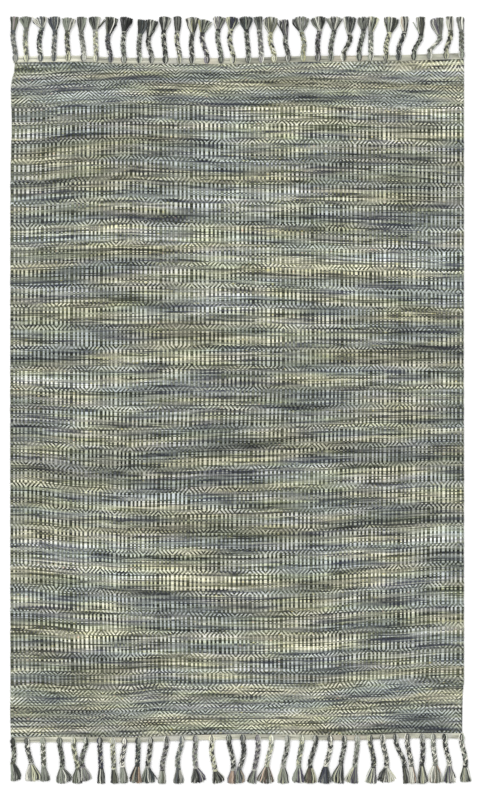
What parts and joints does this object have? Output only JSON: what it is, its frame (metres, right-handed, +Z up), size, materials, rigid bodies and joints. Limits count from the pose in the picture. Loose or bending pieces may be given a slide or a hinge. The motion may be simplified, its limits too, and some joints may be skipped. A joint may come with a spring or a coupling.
{
  "type": "handwoven area rug",
  "caption": "Flat handwoven rug in a pale and dark zigzag twill, with a plain heading and braided, tasselled fringe at both ends.",
  "frame": {"origin": "middle of the underside", "axes": "+X across the rug, +Y along it towards the head end, +Z up out of the pattern side"},
  "size_m": [1.239, 2.066, 0.0098],
  "materials": {
    "field_weave": "matte, ribbed twill of pale and dark space-dyed yarn",
    "heading_weave": "matte, plain weft-faced cords",
    "fringe_yarn": "matte, soft twisted yarn"
  },
  "bodies": {
    "root": {"woven_field": "field_weave", "fringe_head": "fringe_yarn", "fringe_foot": "fringe_yarn"}
  },
  "joints": []
}
